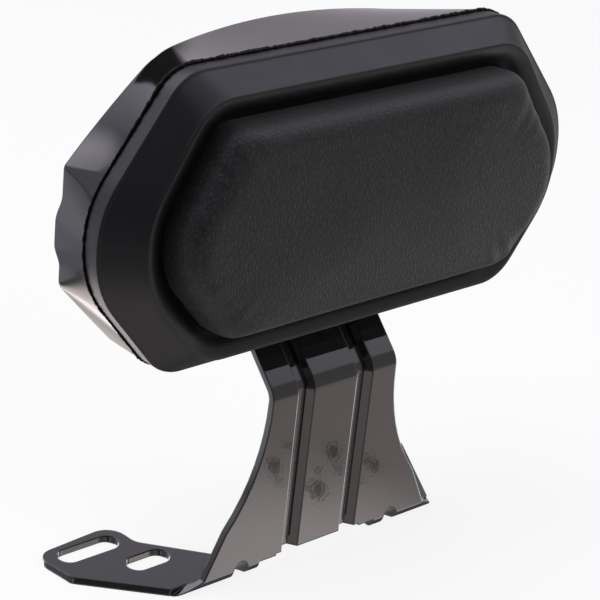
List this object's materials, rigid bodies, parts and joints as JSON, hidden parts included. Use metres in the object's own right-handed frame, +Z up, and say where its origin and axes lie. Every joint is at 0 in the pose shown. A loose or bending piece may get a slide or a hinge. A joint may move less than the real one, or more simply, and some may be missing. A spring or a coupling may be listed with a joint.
{
  "type": "motorcycle backrest",
  "caption": "Padded passenger backrest for a motorcycle: leather cushion in a moulded surround, gloss rear shell and a pressed steel bracket with slotted feet.",
  "frame": {"origin": "midway between the centres of the two front slots, in the plane the feet stand on", "axes": "+X across the bike along the head's width, +Y towards the bike's rear, +Z up"},
  "size_m": [0.25, 0.0836, 0.2294],
  "materials": {
    "bracket": "gloss black paint on pressed steel",
    "rear_shell": "gloss black moulding",
    "seam_seal": "matt black",
    "pad_base": "matt moulding",
    "pad_surround": "satin black moulding",
    "cushion_board": "matt board",
    "cushion_foam": "open foam",
    "cushion_cover": "pebble-grained black cover",
    "cover_staples": "bright wire",
    "cushion_screws": "zinc plated",
    "shell_screws": "blackened",
    "boss_inserts": "plain brass",
    "bracket_bolts": "zinc plated",
    "bracket_spring_washers": "dark spring steel",
    "bracket_washers": "zinc plated"
  },
  "bodies": {
    "root": {"bracket": "bracket", "rear_shell": "rear_shell", "seam_seal": "seam_seal", "pad_base": "pad_base", "pad_surround": "pad_surround", "cushion_board": "cushion_board", "cushion_foam": "cushion_foam", "cushion_cover": "cushion_cover", "cover_staples": "cover_staples", "cushion_screws": "cushion_screws", "shell_screws": "shell_screws", "boss_inserts": "boss_inserts", "bracket_bolts": "bracket_bolts", "bracket_spring_washers": "bracket_spring_washers", "bracket_washers": "bracket_washers"}
  },
  "joints": []
}
